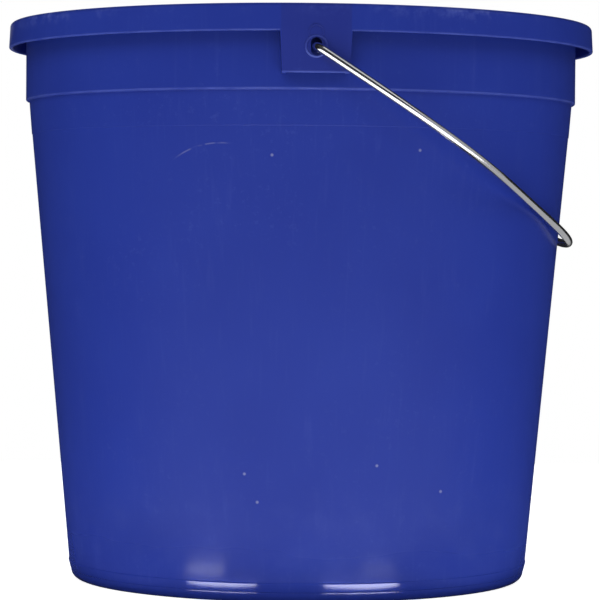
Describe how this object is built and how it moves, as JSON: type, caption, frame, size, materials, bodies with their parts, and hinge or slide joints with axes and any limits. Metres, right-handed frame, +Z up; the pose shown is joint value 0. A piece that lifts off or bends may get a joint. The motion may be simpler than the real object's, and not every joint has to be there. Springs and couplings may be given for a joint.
{
  "type": "feed bucket",
  "caption": "Round tapered moulded plastic bucket with an overhanging rim, two ear boxes and a swinging round-wire bail, for feed or water.",
  "frame": {"origin": "centre of the bucket's round foot, in the plane that it stands on", "axes": "+Z up along the bucket's axis; +Y along the line through the two ears, which is the bail's pivot axis; +X towards the side on which the bail hangs"},
  "size_m": [0.29, 0.3004, 0.274],
  "materials": {
    "blue_plastic": "semi-gloss moulded polyolefin, lightly scuffed",
    "bright_wire": "bright galvanised drawn wire"
  },
  "bodies": {
    "bucket": {"bucket_shell": "blue_plastic"},
    "bail": {"bail_wire": "bright_wire"}
  },
  "joints": [
    {"name": "bail_swing", "type": "hinge", "parent": "bucket", "child": "bail", "pos_m": [0, 0, 0.2544], "axis": [0, -1, 0], "range_deg": [0, 246]}
  ]
}
